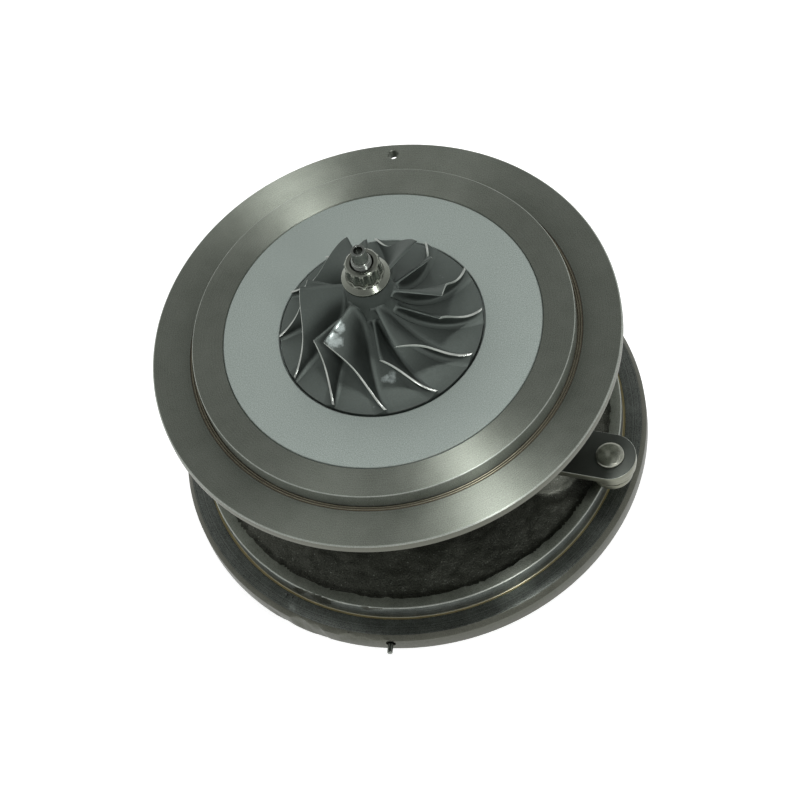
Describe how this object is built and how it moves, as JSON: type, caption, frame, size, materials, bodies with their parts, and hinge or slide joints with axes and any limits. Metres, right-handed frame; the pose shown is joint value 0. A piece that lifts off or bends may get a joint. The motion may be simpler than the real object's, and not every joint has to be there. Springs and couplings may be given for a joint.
{
  "type": "turbo cartridge",
  "caption": "Turbocharger core: bladed compressor and turbine wheels on one shaft, in a cast bearing housing between two round flanges, with a vane control lever.",
  "frame": {"origin": "on the rotor axis, in the plane of the compressor flange's outer face", "axes": "+Z along the rotor axis, towards the compressor; +Y towards the flange's dowel hole and the oil inlet"},
  "size_m": [0.1448, 0.148, 0.1359],
  "materials": {
    "cast_housing_iron": "sand-cast skin with turned faces",
    "turned_iron": "fine turned, satin",
    "blasted_aluminium": "fine blasted, matt",
    "wheel_aluminium": "cast, satin",
    "nut_steel": "turned, semi-bright",
    "turned_steel": "turned, semi-bright",
    "lever_steel": "dark, satin",
    "pin_steel": "dark, satin",
    "bush_steel": "ground",
    "screw_steel": "dark zinc",
    "sheet_steel": "rolled sheet",
    "ring_iron": "ground",
    "nickel_casting": "investment cast, matt",
    "bearing_bronze": "bored and turned",
    "seal_rubber": "moulded"
  },
  "bodies": {
    "housing": {"centre_housing": "cast_housing_iron", "compressor_backplate": "turned_iron", "backplate_screws": "screw_steel", "seal_plate": "blasted_aluminium", "seal_plate_o_ring": "seal_rubber", "housing_o_ring": "seal_rubber", "journal_bearing": "bearing_bronze", "bearing_pin": "turned_steel", "thrust_bearing": "bearing_bronze", "oil_deflector": "sheet_steel", "thrust_bearing_screws": "screw_steel", "compressor_seal_ring": "ring_iron", "turbine_seal_ring": "ring_iron", "heat_shield": "sheet_steel", "lever_bush": "bush_steel", "lever_seal_ring": "ring_iron", "rim_locating_pin": "turned_steel"},
    "rotor": {"rotor_shaft": "turned_steel", "turbine_wheel": "nickel_casting", "thrust_collar": "turned_steel", "oil_flinger": "turned_steel", "compressor_wheel": "wheel_aluminium", "compressor_nut": "nut_steel"},
    "lever": {"lever_shaft": "lever_steel", "control_lever": "lever_steel", "lever_pin": "pin_steel", "lever_pin_disc": "lever_steel", "crank_arm": "lever_steel", "crank_pin": "pin_steel"}
  },
  "joints": [
    {"name": "rotor_spin", "type": "hinge", "parent": "housing", "child": "rotor", "pos_m": [0, 0, 0], "axis": [0, 0, 1], "continuous": true},
    {"name": "lever_swing", "type": "hinge", "parent": "housing", "child": "lever", "pos_m": [0.0413, -0.01725, -0.0415], "axis": [0, 0, 1], "range_deg": [-18, 18]}
  ]
}
